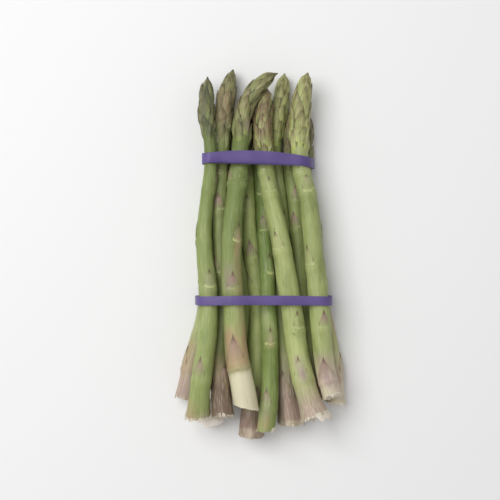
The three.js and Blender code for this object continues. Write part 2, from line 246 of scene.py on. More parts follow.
def makeStem(axis, look):
    deselectAll()
    bpy.ops.mesh.primitive_cylinder_add(
        vertices=stemForm["sides"],
        radius=1,
        depth=1,
        end_fill_type="NGON",
        rotation=(0, math.pi / 2, 0),
    )
    stem = bpy.context.object
    bpy.ops.object.transform_apply(location=True, rotation=True, scale=True)
    bpy.ops.object.mode_set(mode="EDIT")
    bpy.ops.mesh.select_mode(type="EDGE")
    bpy.ops.mesh.select_all(action="DESELECT")
    bpy.ops.object.mode_set(mode="OBJECT")
    co = pointsOf(stem.data)
    for edge in stem.data.edges:
        a, b = edge.vertices
        edge.select = abs(co[a][0] - co[b][0]) > 0.5
    bpy.ops.object.mode_set(mode="EDIT")
    rings = stemForm["rings"]
    bpy.ops.mesh.subdivide_edgering(number_cuts=rings, interpolation="LINEAR", smoothness=0)
    # the butt's cap is drawn in as rings, so that its flesh can be shaped
    bpy.ops.mesh.select_mode(type="FACE")
    bpy.ops.mesh.select_all(action="DESELECT")
    bpy.ops.object.mode_set(mode="OBJECT")
    for face in stem.data.polygons:
        face.select = face.normal.x < -0.9
    bpy.ops.object.mode_set(mode="EDIT")
    for share in stemForm["cutRings"]:
        bpy.ops.mesh.extrude_region_move(TRANSFORM_OT_translate={"value": (0, 0, 0)})
        bpy.ops.transform.resize(value=(1, share, share))
    bpy.ops.mesh.poke()
    bpy.ops.object.mode_set(mode="OBJECT")
    shapeStem(stem, axis, look)
    return stem


def shapeStem(stem, axis, look):
    co = pointsOf(stem.data)
    along = (co[:, 0] + 0.5) * axis["length"]
    angle = np.arctan2(-co[:, 1], co[:, 2])
    share = np.hypot(co[:, 1], co[:, 2])
    inHead = smoothStep((along - axis["length"] + look["head"]) / stemForm["headFade"])
    full = stemForm["fullness"] + (stemForm["headFullness"] - stemForm["fullness"]) * inHead
    radius = radiusAt(axis, along) * full * (1 + (stemForm["headCore"] - 1) * inHead)

    # flutes and unevenness
    phase = look["seed"] * 1.7
    flutes = np.cos(stemForm["flutes"] * angle + phase + along * stemForm["fluteTwist"])
    long, short = stemForm["waves"]
    uneven = np.sin(along * long + phase) * np.cos(2 * angle + phase)
    uneven += 0.6 * np.sin(along * short + 3 * angle + phase)
    relief = flutes * stemForm["fluteDepth"] + uneven * stemForm["unevenness"]
    radius += relief * (1 - inHead)

    for y, faces, size in look["leaves"]:
        turned = np.cos(angle - math.radians(faces))
        offFoot = (along - alongAt(axis, y) + stemForm["knotDrop"]) / stemForm["knotLength"]
        ring = np.exp(-(offFoot**2))
        radius += stemForm["knot"] * size * ring * (0.35 + 0.65 * np.clip(turned, 0, 1))
    for low, high, faces in look.get("presses", []):
        inside = smoothStep((along - alongAt(axis, low)) / stemForm["pressFade"])
        inside = inside * smoothStep((alongAt(axis, high) - along) / stemForm["pressFade"])
        off = turnedFrom(angle, faces) / stemForm["pressSpread"]
        radius += stemForm["press"] * inside * np.exp(-(off**2))
    near = np.clip(1 - along / stemForm["flareLength"], 0, 1)
    radius += look.get("flare", 0) * mm * near**2
    if "rounded" in look:
        near = np.clip(1 - along / (look["rounded"] * mm), 0, 1)
        radius *= np.sqrt(1 - stemForm["rounding"] * near**2)

    # the slanted cut, its ragged rim and its hollow face
    slope, faces = (math.radians(value) for value in look["cut"])
    slant = math.tan(slope) * axis["radii"][0]
    atButt = 1 - smoothStep(along / stemForm["cutFade"])
    atRim = along < stemForm["rimLevel"]
    onCut = atRim & (share < 0.99)
    ragged = np.sin(angle * 7 + phase) * 0.3 + np.sin(angle * 13 + 2 * phase) * 0.2
    ragged += np.sin(angle * 29) * 0.12
    ragged *= np.where(atRim, 1, 0) * share**4
    hollow = stemForm["cutHollow"] * (1 - share**2) * (1 + 0.5 * np.sin(angle * 5 + phase))
    along += slant * (1 - share * np.cos(angle - faces)) * atButt
    along += ragged * look.get("ragged", stemForm["ragged"]) * mm
    along += np.where(onCut, hollow, 0)
    reach = share * radius
    setPoints(stem.data, np.stack([along, -np.sin(angle) * reach, np.cos(angle) * reach], axis=1))
    place = np.stack([share, np.where(onCut, 1, 0), np.zeros(len(share))], axis=1)
    writeAttribute(stem.data, "leafPlace", place)
    stem.data.materials.append(materials["stemSkin"])
    stem.data.materials.append(materials["cutFlesh"])
    for face in stem.data.polygons:
        face.material_index = int(any(onCut[i] for i in face.vertices))


# leaves, each modelled flat: -1 to 1 across, 0 to 1 up
# foot: how wide it is there; widest: how far up it is widest; point: how early it narrows above

leafForms = {
    "stemLeaf": {
        "columns": 9, "rows": 13, "thick": 0.3,
        "foot": 0.95, "widest": 0.05, "point": 1.35, "slim": 0.02,
    },
    "headLeaf": {
        "columns": 4, "rows": 7, "thick": 0.3,
        "foot": 0.5, "widest": 0.38, "point": 1.0, "slim": 0.05,
    },
    "shred": {
        "columns": 4, "rows": 6, "thick": 0.25,
        "foot": 1, "widest": 0.1, "point": 0.7, "slim": 0.2,
    },
}


def makeLeaf(name):
    form = leafForms[name]
    deselectAll()
    columns, rows = form["columns"], form["rows"]
    bpy.ops.mesh.primitive_grid_add(x_subdivisions=columns, y_subdivisions=rows, size=2)
    leaf = bpy.context.object
    leaf.name = name
    up = (pointsOf(leaf.data)[:, 1] + 1) / 2
    for row in np.unique(np.round(up, 5)):
        if row < form["widest"]:
            swell = math.sin(row / form["widest"] * math.pi / 2)
            width = form["foot"] + (1 - form["foot"]) * swell
        else:
            rest = (row - form["widest"]) / (1 - form["widest"])
            width = max(math.cos(rest * math.pi / 2) ** form["point"], form["slim"])
        selectVertices(leaf, np.abs(up - row) < 0.001)
        bpy.ops.transform.resize(value=(width, 1, 1), center_override=(0, 0, 0))
        bpy.ops.object.mode_set(mode="OBJECT")
    bpy.ops.object.mode_set(mode="EDIT")
    bpy.ops.mesh.select_all(action="SELECT")
    bpy.ops.transform.translate(value=(0, 1, 0))
    bpy.ops.transform.resize(value=(1, 0.5, 1), center_override=(0, 0, 0))
    bpy.ops.object.mode_set(mode="OBJECT")
    applyModifier(leaf, "SOLIDIFY", thickness=form["thick"], offset=-1)
    return leaf


leafSources = {name: makeLeaf(name) for name in leafForms}


layForm = {
    "leastFoot": 1.2 * mm,
    "thickness": 1.1 * mm,  # times the thickness in leafForms
    "closesBelow": 1.8 * mm,  # where a head is thinner than this, its scales close up
    "closest": 0.15,
    "leastRadius": 0.12 * mm,
}


def layLeaf(name, axis, along, angle, width, length, proud, core, sag=0.0, lean=0.0, mauve=1.0):
    # a copy, laid round the straight spear; with a negative width and length it points off the butt
    source = leafSources[name]
    leaf = source.copy()
    leaf.data = source.data.copy()
    bpy.context.scene.collection.objects.link(leaf)
    co = pointsOf(leaf.data)
    across, up, deep = co[:, 0], co[:, 1], co[:, 2]
    at = along + up * length + sag * across**2 * length
    under = radiusAt(axis, np.clip(at, 0, axis["length"])) * core
    foot = max(float(radiusAt(axis, max(along, 0))) * core, layForm["leastFoot"])
    turn = angle + (across * width / 2 + lean * up * length) / foot
    thin = np.clip(under / layForm["closesBelow"], layForm["closest"], 1)
    radius = np.maximum(under, layForm["leastRadius"]) + proud(across, up) * thin
    radius = radius + deep * layForm["thickness"] * np.clip(thin * 1.5, 0, 1)
    setPoints(leaf.data, np.stack([at, -np.sin(turn) * radius, np.cos(turn) * radius], axis=1))
    chance = np.full(len(co), rng.random() * mauve)
    writeAttribute(leaf.data, "leafPlace", np.stack([across, up, chance], axis=1))
    return leaf


stemLeaves = {
    "width": 7.4 * mm,
    "length": 12.5 * mm,
    "proud": 0.6 * mm,
    "keel": 0.55,  # how wide the fold along its middle is
    "sag": 0.1,
    "shortest": 6 * mm,  # shorter ones, by the band, stay green
    "bandFrom": 54.5,  # millimetres: the leaves below the upper band stop short of it
}


def stemLeafProud(across, up):
    keel = np.exp(-((across / stemLeaves["keel"]) ** 2))
    hump = np.sin(np.pi * np.clip(up * 0.85 + 0.15, 0, 1))
    return stemLeaves["proud"] * (0.5 + 0.5 * keel * hump + 0.2 * (up > 0.9))


def addStemLeaves(axis, look):
    leaves = []
    for y, faces, size in look["leaves"]:
        width = stemLeaves["width"] * size * rng.uniform(0.92, 1.08)
        length = stemLeaves["length"] * size * rng.uniform(0.9, 1.1)
        length = min(length, (stemLeaves["bandFrom"] - y) * mm)
        along, angle = alongAt(axis, y), math.radians(faces)
        sag, mauve = stemLeaves["sag"], 0.2 if length < stemLeaves["shortest"] else 1
        leaf = layLeaf(
            "stemLeaf", axis, along, angle, width, length, stemLeafProud, 1.0, sag, mauve=mauve
        )
        leaf.data.materials.append(materials["stemLeaf"])
        leaves.append(leaf)
    return leaves


headLeaves = {
    "count": 58,
    "turn": 137.5,  # degrees from one scale to the next
    "scatter": 0.16,  # radians
    "firstBelow": 5 * mm,  # the lowest scales start this far under the head
    "gather": 1.35,
    "widthToRadius": 1.25,
    "leastRadius": 0.8 * mm,
    "lengthToRadius": 2.9,
    "leastLength": 3.4 * mm,
    "pastTip": 0.5 * mm,
    "lean": 0.14,
    "core": 1.03,  # times the stem's headCore
    "keel": 0.6,
    "proud": 1.35 * mm,
    "fullLift": 4 * mm,  # nearer the tip, where the head is thinner than this, they lie closer
    "buds": 16,  # the lowest scales bulge over a bud
    "bud": 1.1 * mm,
}


def addHeadLeaves(axis, look):
    leaves = []
    count, core = headLeaves["count"], stemForm["headCore"] * headLeaves["core"]
    span = look["head"] + headLeaves["firstBelow"]
    for i in range(count):
        share = 1 - (1 - i / (count + 1.5)) ** headLeaves["gather"]
        along = axis["length"] - span + share * span
        radius = float(radiusAt(axis, along))
        angle = math.radians(look["seed"] * 67 + i * headLeaves["turn"])
        angle += rng.normal(0, headLeaves["scatter"])
        length = radius * headLeaves["lengthToRadius"] + 1 * mm
        length = max(length, headLeaves["leastLength"]) * rng.uniform(0.85, 1.12)
        length = min(length, axis["length"] + headLeaves["pastTip"] - along)
        bud = headLeaves["bud"] * max(1 - i / headLeaves["buds"], 0) * rng.uniform(0.5, 1)
        lift = headLeaves["proud"] * rng.uniform(0.7, 1.3) * min(radius / headLeaves["fullLift"], 1)

        def proud(across, up):
            keel = np.exp(-((across / headLeaves["keel"]) ** 2))
            raised = lift * (0.1 + 0.75 * keel * smoothStep(up * 2) + 0.4 * up)
            return raised + bud * keel * np.sin(np.pi * up**0.7)

        width = max(radius, headLeaves["leastRadius"]) * headLeaves["widthToRadius"]
        width *= rng.uniform(0.85, 1.1)
        lean = rng.normal(0, headLeaves["lean"])
        leaf = layLeaf("headLeaf", axis, along, angle, width, length, proud, core, lean=lean)
        leaf.data.materials.append(materials["headLeaf"])
        leaves.append(leaf)
    return leaves


# the larger scales low on the heads, which bulge over a bud of their own

budScales = {
    "width": 5 * mm,
    "length": 11 * mm,
    "proud": 0.9 * mm,
    "bud": 0.9 * mm,
    "core": 0.94,
}


def budProud(across, up):
    keel = np.exp(-((across / headLeaves["keel"]) ** 2))
    hump = keel * np.sin(np.pi * up**0.6)
    return budScales["proud"] * (0.2 + 0.5 * up) + budScales["bud"] * hump


def addBudScales(axis, look):
    leaves = []
    for y, faces, size in look.get("budScales", []):
        along, angle = alongAt(axis, y), math.radians(faces)
        width, length = budScales["width"] * size, budScales["length"] * size
        lean, core = rng.normal(0, headLeaves["lean"]), budScales["core"]
        leaf = layLeaf("headLeaf", axis, along, angle, width, length, budProud, core, lean=lean)
        leaf.data.materials.append(materials["headLeaf"])
        leaves.append(leaf)
    return leaves


# torn fibres and skin round the cut

shreds = {
    "usual": [(16, 0, 180, 1)],  # how many, the way they face, their spread, their size
    "start": (0.4, 1.4),  # these in millimetres
    "width": (0.5, 1.6),
    "length": (0.8, 2.6),
    "lift": 0.5,
    "ripple": 0.12,
}


def addShreds(axis, look):
    slope, faces = (math.radians(value) for value in look["cut"])
    slant = math.tan(slope) * axis["radii"][0]
    out = 0.1 * mm + look.get("flare", 0) * mm
    pieces = []
    for count, middle, spread, size in look.get("shreds", shreds["usual"]):
        for angle in math.radians(middle) + rng.uniform(-1, 1, count) * math.radians(spread):
            start = slant * (1 - math.cos(angle - faces)) + rng.uniform(*shreds["start"]) * mm
            width = rng.uniform(*shreds["width"]) * size * mm
            length = rng.uniform(*shreds["length"]) * size * mm
            lift = shreds["lift"] * size * mm * rng.uniform(-0.4, 1.2)

            def proud(across, up):
                ripple = shreds["ripple"] * mm * np.sin(across * 4 + up * 5)
                return out + lift * up**2 + ripple

            piece = layLeaf("shred", axis, start, angle, -width, -length, proud, 1.0)
            piece.data.materials.append(materials["cutFlesh"])
            pieces.append(piece)
    return pieces


# the whole spear: its parts are joined while it is straight, then bent along its axis

def makePath(axis):
    path = bpy.data.curves.new("spearPath", "CURVE")
    path.dimensions = "3D"
    path.twist_mode = "Z_UP"
    spline = path.splines.new("POLY")
    spline.points.add(len(axis["path"]) - 1)
    co = np.c_[axis["path"], np.ones(len(axis["path"]))]
    spline.points.foreach_set("co", co.astype(np.float32).ravel())
    obj = bpy.data.objects.new("spearPath", path)
    bpy.context.scene.collection.objects.link(obj)
    return obj


def alongAt(axis, y):
    # how far up a spear it crosses this y of the plan, in millimetres
    return float(np.interp((y + planShift[1]) * mm, axis["path"][:, 1], axis["along"]))


stainForm = {"softPower": 4, "sharpPower": 16}  # how sharply tan and mauve ones end, and pale ones


def writeColouring(mesh, axis, look):
    # what the materials read: places on the straight spear, tones and stains
    straight = pointsOf(mesh)
    count = len(straight)
    headFrom = axis["length"] - look["head"]
    share = np.clip(straight[:, 0] / headFrom, 0, 1)
    fromHead = np.clip((straight[:, 0] - headFrom) / look["head"], 0, 1)
    writeAttribute(mesh, "grown", straight)
    growth = [share, fromHead, np.full(count, look["seed"])]
    writeAttribute(mesh, "growth", np.stack(growth, axis=1))
    low, high, fresh = look["tone"]
    light = low + (high - low) * smoothStep(share * 1.5 - 0.2)
    writeAttribute(mesh, "tone", np.stack([light, np.full(count, fresh), share], axis=1))
    for name in ("flesh", "headTone"):
        writeAttribute(mesh, name, np.tile(look[name], (count, 1)))
    angle = np.arctan2(-straight[:, 1], straight[:, 2])
    stain = np.zeros((count, 3))
    for kind, y, faces, long, wide, strength in look.get("stains", []):
        off = (straight[:, 0] - alongAt(axis, y)) / mm
        power = stainForm["softPower"]
        if kind == 2:  # a pale one ends in a ragged line
            off += 0.9 * np.sin(angle + 2) + 0.5 * np.sin(5 * angle + look["seed"])
            off += 0.35 * np.sin(11 * angle)
            power = stainForm["sharpPower"]
        turned = turnedFrom(angle, faces) / math.radians(wide)
        stain[:, kind] += strength * np.exp(-((off / long) ** power) - turned**2)
    writeAttribute(mesh, "stain", stain)


def makeSpear(node, look):
    axis = readSpear(node)
    stem = makeStem(axis, look)
    pieces = [stem, *addStemLeaves(axis, look), *addHeadLeaves(axis, look)]
    pieces += [*addBudScales(axis, look), *addShreds(axis, look)]
    deselectAll()
    for piece in pieces:
        piece.select_set(True)
    bpy.context.view_layer.objects.active = stem
    bpy.ops.object.join()
    writeColouring(stem.data, axis, look)
    path = makePath(axis)
    applyModifier(stem, "CURVE", object=path, deform_axis="POS_X")
    bpy.data.objects.remove(path)
    pick(stem)
    bpy.ops.object.shade_smooth_by_angle(angle=math.radians(50))
    stem.name = node + "_grown"
    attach(stem, "root")
    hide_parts(node)
    print("spear", node, round(axis["length"] / mm), "mm,", len(stem.data.polygons), "faces")


# material helpers

def paint(code):
    # a colour as it looks on screen, made linear for the shader
    rgb = [int(code[i : i + 2], 16) / 255 for i in (1, 3, 5)]
    return (*[c / 12.92 if c <= 0.04045 else ((c + 0.055) / 1.055) ** 2.4 for c in rgb], 1)


def addNode(tree, kind, inputs, **settings):
    node = tree.nodes.new(kind)
    for name, value in settings.items():
        setattr(node, name, value)
    for key, value in inputs.items():
        if isinstance(value, bpy.types.NodeSocket):
            tree.links.new(value, node.inputs[key])
        else:
            node.inputs[key].default_value = value
    return node


def mix(tree, factor, a, b):
    a = paint(a) if isinstance(a, str) else a
    b = paint(b) if isinstance(b, str) else b
    return addNode(tree, "ShaderNodeMix", {0: factor, 6: a, 7: b}, data_type="RGBA").outputs[2]


def calc(tree, operation, a, b=0.0):
    # the result is held between 0 and 1
    node = addNode(tree, "ShaderNodeMath", {0: a, 1: b}, operation=operation, use_clamp=True)
    return node.outputs[0]


def fade(tree, value, low, high, top=1.0):
    # 0 at low, top at high
    inputs = {0: value, 1: low, 2: high, 4: top}
    return addNode(tree, "ShaderNodeMapRange", inputs, interpolation_type="SMOOTHSTEP").outputs[0]


def readVector(tree, name):
    return addNode(tree, "ShaderNodeAttribute", {}, attribute_name=name).outputs["Vector"]


def readParts(tree, name):
    return addNode(tree, "ShaderNodeSeparateXYZ", {0: readVector(tree, name)}).outputs


def newGroup(name, inputs, outputs):
    group = bpy.data.node_groups.new(name, "ShaderNodeTree")
    for label in inputs:
        group.interface.new_socket(label, in_out="INPUT", socket_type="NodeSocketFloat")
    for label, kind in outputs.items():
        group.interface.new_socket(label, in_out="OUTPUT", socket_type="NodeSocket" + kind)
    given = group.nodes.new("NodeGroupInput").outputs
    return group, given, group.nodes.new("NodeGroupOutput").inputs


def useGroup(tree, group, **inputs):
    return addNode(tree, "ShaderNodeGroup", inputs, node_tree=group).outputs


def newMaterial(name):
    material = bpy.data.materials.new(name)
    material.use_nodes = True
    return material, material.node_tree, material.node_tree.nodes["Principled BSDF"]


def addBump(tree, shader, height, distance, strength=0.7):
    inputs = {"Height": height, "Distance": distance, "Strength": strength}
    bump = addNode(tree, "ShaderNodeBump", inputs)
    tree.links.new(bump.outputs[0], shader.inputs["Normal"])


# what the spears' materials share: fibres and patches that follow the spear, and its skin's colour

fibreForm = {
    "lineStretch": 0.06,
    "patchStretch": 0.35,
    "speckStretch": 0.7,
    "specksPerMetre": 650,
}


def makeFibreGroup():
    outputs = {"Lines": "Float", "Patches": "Float", "Specks": "Float"}
    tree, given, put = newGroup("spearFibres", ["LinesPerMetre", "PatchesPerMetre"], outputs)
    grown = readVector(tree, "grown")
    seed = readParts(tree, "growth")[2]
    kinds = (
        (fibreForm["lineStretch"], given[0], 4),
        (fibreForm["patchStretch"], given[1], 4),
        (fibreForm["speckStretch"], fibreForm["specksPerMetre"], 1),
    )
    for i, (stretch, scale, detail) in enumerate(kinds):
        stretched = {0: grown, 1: (stretch, 1, 1)}
        place = addNode(tree, "ShaderNodeVectorMath", stretched, operation="MULTIPLY").outputs[0]
        inputs = {"Vector": place, "W": seed, "Scale": scale, "Detail": detail}
        noise = addNode(tree, "ShaderNodeTexNoise", inputs, noise_dimensions="4D")
        tree.links.new(noise.outputs[0], put[i])
    return tree


fibreGroup = makeFibreGroup()

skinColours = {
    "dark": "#707c46",
    "light": "#bdc284",
    "freshDark": "#65843a",
    "freshLight": "#a3bf60",
    "shade": "#626f3c",
    "streak": "#c5c798",
    "pale": "#dcd4b5",
    # partly the flesh's own whiteness, partly painted light on a butt in the shade of its neighbours
    "whiteAndPaintedLight": "#fff6ea",
    "blush": "#c0a095",
    # brown butts: partly their own colour, partly painted shade, darker for the butts that lie in
    # shadow
    "brown": "#715f4e",
    "darkFlesh": "#6f5d50",
    "lightFlesh": "#e8e0cb",
    "tan": "#b39a76",
    "mauve": "#a68591",
    "speck": "#545b30",
    # painted shade: the dark core that shows in the gaps between the head's scales
    "head": "#363a20",
    "torn": "#8a7048",
}


def makeSkinGroup():
    # from the butt up: pale or brownish flesh (its brown partly painted shade), then green, and
    # painted shade: a dark core that shows between the scales of the head
    outputs = {"Colour": "Color", "Lines": "Float", "Patches": "Float"}
    tree, _, put = newGroup("spearSkin", [], outputs)
    lines, patches, specks = useGroup(tree, fibreGroup, LinesPerMetre=1500, PatchesPerMetre=110)
    share, inHead, _ = readParts(tree, "growth")
    light, fresh, _ = readParts(tree, "tone")
    butt, brown, blush = readParts(tree, "flesh")
    headDark = readParts(tree, "headTone")[1]
    colour = mix(tree, light, skinColours["dark"], skinColours["light"])
    freshGreen = mix(tree, light, skinColours["freshDark"], skinColours["freshLight"])
    colour = mix(tree, fresh, colour, freshGreen)
    colour = mix(tree, fade(tree, patches, 0.48, 0.72, 0.5), colour, skinColours["shade"])
    colour = mix(tree, fade(tree, patches, 0.5, 0.28, 0.35), colour, skinColours["streak"])
    colour = mix(tree, fade(tree, lines, 0.5, 0.72, 0.3), colour, skinColours["streak"])
    colour = mix(tree, fade(tree, lines, 0.5, 0.3, 0.3), colour, skinColours["shade"])
    colour = mix(tree, fade(tree, specks, 0.7, 0.78, 0.6), colour, skinColours["speck"])
    nearHead = calc(tree, "MULTIPLY", fade(tree, share, 0.8, 1.0), headDark)
    colour = mix(tree, nearHead, colour, skinColours["shade"])
    edge = calc(tree, "ADD", share, calc(tree, "MULTIPLY", patches, 0.08))
    # the butt's brown flesh is partly its own colour and partly painted shade
    flesh = mix(tree, brown, skinColours["pale"], skinColours["brown"])
    blushed = calc(tree, "MULTIPLY", fade(tree, patches, 0.35, 0.6), blush)
    flesh = mix(tree, blushed, flesh, skinColours["blush"])
    flesh = mix(tree, fade(tree, lines, 0.48, 0.7, 0.35), flesh, skinColours["lightFlesh"])
    flesh = mix(tree, fade(tree, lines, 0.45, 0.3, 0.35), flesh, skinColours["darkFlesh"])
    reach = calc(tree, "DIVIDE", edge, calc(tree, "MULTIPLY", butt, 1.5))
    colour = mix(tree, fade(tree, reach, 0.95, 0.35), colour, flesh)

    # stains, and the line where the skin has torn between a tan and a pale one
    stains = readParts(tree, "stain")
    for stain, name in zip(stains, ("tan", "mauve", "pale")):
        spread = calc(tree, "MULTIPLY", stain, fade(tree, patches, 0.3, 0.6, 1.3))
        colour = mix(tree, spread, colour, skinColours[name])
    # near-white where a pale stain is stronger than 1: partly the flesh's own whiteness, partly
    # painted light on a butt in the shade of its neighbours
    colour = mix(tree, fade(tree, stains[2], 1.0, 1.4), colour, skinColours["whiteAndPaintedLight"])
    torn = calc(tree, "ADD", stains[2], calc(tree, "MULTIPLY", lines, 0.3))
    torn = calc(tree, "MULTIPLY", fade(tree, torn, 0.2, 0.45), fade(tree, torn, 0.9, 0.6))
    torn = calc(tree, "MULTIPLY", torn, fade(tree, stains[0], 0.1, 0.4, 0.8))
    colour = mix(tree, torn, colour, skinColours["torn"])
    # painted shade: inside the head the core turns dark, so that the gaps between the scales look
    # shaded
    colour = mix(tree, fade(tree, inHead, 0.0, 0.25, 0.85), colour, skinColours["head"])
    for i, value in enumerate((colour, lines, patches)):
        tree.links.new(value, put[i])
    return tree


skinGroup = makeSkinGroup()


stemSkin = {"smoothest": 0.4, "roughest": 0.62, "specular": 0.35, "bump": 0.14 * mm}


def makeStemSkin():
    material, tree, shader = newMaterial("stemSkin")
    colour, lines, _ = useGroup(tree, skinGroup)
    tree.links.new(colour, shader.inputs["Base Color"])
    inputs = {0: lines, 1: 0.3, 2: 0.7, 3: stemSkin["smoothest"], 4: stemSkin["roughest"]}
    rough = addNode(tree, "ShaderNodeMapRange", inputs)
    tree.links.new(rough.outputs[0], shader.inputs["Roughness"])
    shader.inputs["Specular IOR Level"].default_value = stemSkin["specular"]
    addBump(tree, shader, lines, stemSkin["bump"])
    return material


stemLeaf = {
    "mauve": "#9d8176",
    "fibre": "#cbbfae",
    "edge": "#71583f",
    "point": "#6c5345",
    # painted highlight along the bulging foot of a leaf
    "footHighlight": "#c9cc8c",
    "roughness": 0.6,
    "bump": 0.16 * mm,
}


def makeStemLeaf():
    # a painted highlight as a pale green crescent at the foot, skin or mauve above, a dark line
    # along its edges and a brown point
    material, tree, shader = newMaterial("stemLeaf")
    skin, lines, _ = useGroup(tree, skinGroup)
    across, up, chance = readParts(tree, "leafPlace")
    share = readParts(tree, "growth")[0]
    edge = addNode(tree, "ShaderNodeMath", {0: across}, operation="ABSOLUTE").outputs[0]
    wavy = calc(tree, "ADD", up, calc(tree, "MULTIPLY", lines, 0.18))
    mauve = calc(tree, "MULTIPLY", fade(tree, wavy, 0.15, 0.75), fade(tree, chance, 0.2, 0.8, 0.85))
    colour = mix(tree, mauve, skin, stemLeaf["mauve"])
    colour = mix(tree, fade(tree, lines, 0.5, 0.7, 0.3), colour, stemLeaf["fibre"])
    line = calc(tree, "MULTIPLY", fade(tree, edge, 0.72, 0.95, 0.8), fade(tree, wavy, 0.1, 0.35))
    colour = mix(tree, line, colour, stemLeaf["edge"])
    colour = mix(tree, fade(tree, wavy, 0.7, 1.0, 0.9), colour, stemLeaf["point"])
    # painted highlight: a pale green crescent along the leaf's foot, where it bulges, higher up the
    # stem
    footHighlight = calc(tree, "MULTIPLY", fade(tree, wavy, 0.3, 0.1), fade(tree, share, 0.1, 0.34))
    footHighlight = calc(tree, "MULTIPLY", footHighlight, fade(tree, chance, 1.6, 0.0, 0.95))
    colour = mix(tree, footHighlight, colour, stemLeaf["footHighlight"])
    tree.links.new(colour, shader.inputs["Base Color"])
    shader.inputs["Roughness"].default_value = stemLeaf["roughness"]
    addBump(tree, shader, lines, stemLeaf["bump"])
    return material


headLeaf = {
    "body": "#87915b",
    "brightBody": "#b9c27c",
    "dry": "#b0a87c",
    "green": "#66713c",
    "foot": "#a3ad68",
    "brightFoot": "#c3cf72",
    "brown": "#85704f",
    "stains": ("#947f5e", "#9a8478"),  # tan and mauve
    "point": "#5e4c38",
    "edge": "#45442a",
    "fibre": "#cfc7a0",
    "groove": "#544a30",
    "patch": "#655843",
    "dark": "#555a45",
    "roughness": 0.55,
    "specular": 0.35,
    "bump": 0.2 * mm,
}


def makeHeadLeaf():
    # bright at the foot, brown towards the point, darker along its edges
    material, tree, shader = newMaterial("headLeaf")
    lines, patches, _ = useGroup(tree, fibreGroup, LinesPerMetre=1900, PatchesPerMetre=260)
    across, up, chance = readParts(tree, "leafPlace")
    inHead = readParts(tree, "growth")[1]
    brown, dark, bright = readParts(tree, "headTone")
    edge = addNode(tree, "ShaderNodeMath", {0: across}, operation="ABSOLUTE").outputs[0]
    body = mix(tree, bright, headLeaf["body"], headLeaf["brightBody"])
    body = mix(tree, fade(tree, chance, 0.4, 1.0, 0.6), body, headLeaf["dry"])
    body = mix(tree, fade(tree, chance, 0.4, 0.0, 0.45), body, headLeaf["green"])
    foot = mix(tree, bright, headLeaf["foot"], headLeaf["brightFoot"])
    foot = mix(tree, fade(tree, inHead, 0.6, 0.0, 0.9), body, foot)
    colour = mix(tree, fade(tree, up, 0.1, 0.5), foot, body)
    browned = calc(tree, "MULTIPLY", calc(tree, "ADD", brown, 0.2), fade(tree, up, 0.15, 0.8))
    browned = calc(tree, "MULTIPLY", browned, fade(tree, inHead, -0.15, 0.45))
    colour = mix(tree, browned, colour, headLeaf["brown"])
    for stain, spot in zip(readParts(tree, "stain"), headLeaf["stains"]):
        stained = calc(tree, "MULTIPLY", stain, fade(tree, up, 0.1, 0.4))
        colour = mix(tree, stained, colour, spot)
    colour = mix(tree, fade(tree, up, 0.6, 1.0, 0.6), colour, headLeaf["point"])
    colour = mix(tree, fade(tree, edge, 0.4, 0.85, 0.85), colour, headLeaf["edge"])
    colour = mix(tree, fade(tree, lines, 0.5, 0.7, 0.5), colour, headLeaf["fibre"])
    colour = mix(tree, fade(tree, lines, 0.48, 0.3, 0.5), colour, headLeaf["groove"])
    colour = mix(tree, fade(tree, patches, 0.5, 0.72, 0.4), colour, headLeaf["patch"])
    darkened = calc(tree, "MULTIPLY", dark, fade(tree, patches, 0.25, 0.6))
    colour = mix(tree, darkened, colour, headLeaf["dark"])
    tree.links.new(colour, shader.inputs["Base Color"])
    shader.inputs["Roughness"].default_value = headLeaf["roughness"]
    shader.inputs["Specular IOR Level"].default_value = headLeaf["specular"]
    addBump(tree, shader, lines, headLeaf["bump"])
    return material


cutFlesh = {
    "flesh": "#f3eedf",
    "oldFlesh": "#ddd3b6",
    "fibre": "#a3916b",
    "fibresPerMetre": 1000,
    "skin": "#b3ab7c",
    "dried": "#b0957c",
    "brown": "#9a7f6e",
    # partly the cut flesh's own whiteness, partly painted light
    "whiteAndPaintedLight": "#f6ebe0",
    "roughness": 0.75,
    "bump": 0.3 * mm,
}


def makeCutFlesh():
    # pale, with the dots of the fibres' ends, and a green ring of skin; brown where it has dried;
    # whiter where a pale stain lies, partly painted light
    material, tree, shader = newMaterial("cutFlesh")
    _, patches, _ = useGroup(tree, fibreGroup, LinesPerMetre=1600, PatchesPerMetre=450)
    outwards = readParts(tree, "leafPlace")[0]
    brown = readParts(tree, "flesh")[1]
    whiteAndPaintedLight = readParts(tree, "stain")[2]
    inputs = {"Vector": readVector(tree, "grown"), "Scale": cutFlesh["fibresPerMetre"]}
    cells = addNode(tree, "ShaderNodeTexVoronoi", inputs).outputs[0]
    colour = mix(tree, fade(tree, patches, 0.35, 0.65), cutFlesh["flesh"], cutFlesh["oldFlesh"])
    colour = mix(tree, fade(tree, cells, 0.3, 0.12, 0.6), colour, cutFlesh["fibre"])
    colour = mix(tree, fade(tree, outwards, 0.82, 0.96, 0.7), colour, cutFlesh["skin"])
    colour = mix(tree, fade(tree, patches, 0.5, 0.72, 0.6), colour, cutFlesh["dried"])
    # the cut face follows the butt's brown, which is partly painted shade
    colour = mix(tree, calc(tree, "MULTIPLY", brown, 0.35), colour, cutFlesh["brown"])
    # whiter where a pale stain lies: partly its own whiteness, partly painted light
    colour = mix(tree, calc(tree, "MULTIPLY", whiteAndPaintedLight, 0.6), colour, cutFlesh["whiteAndPaintedLight"])
    tree.links.new(colour, shader.inputs["Base Color"])
    shader.inputs["Roughness"].default_value = cutFlesh["roughness"]
    addBump(tree, shader, cells, cutFlesh["bump"])
    return material


rubber = {
    "dark": "#55457f",
    "light": "#63528d",
    "dust": "#7a6a9f",
    "cloudsPerMetre": 45,
    "grainPerMetre": 2400,
    "roughness": 0.5,
    "bump": 0.05 * mm,
}


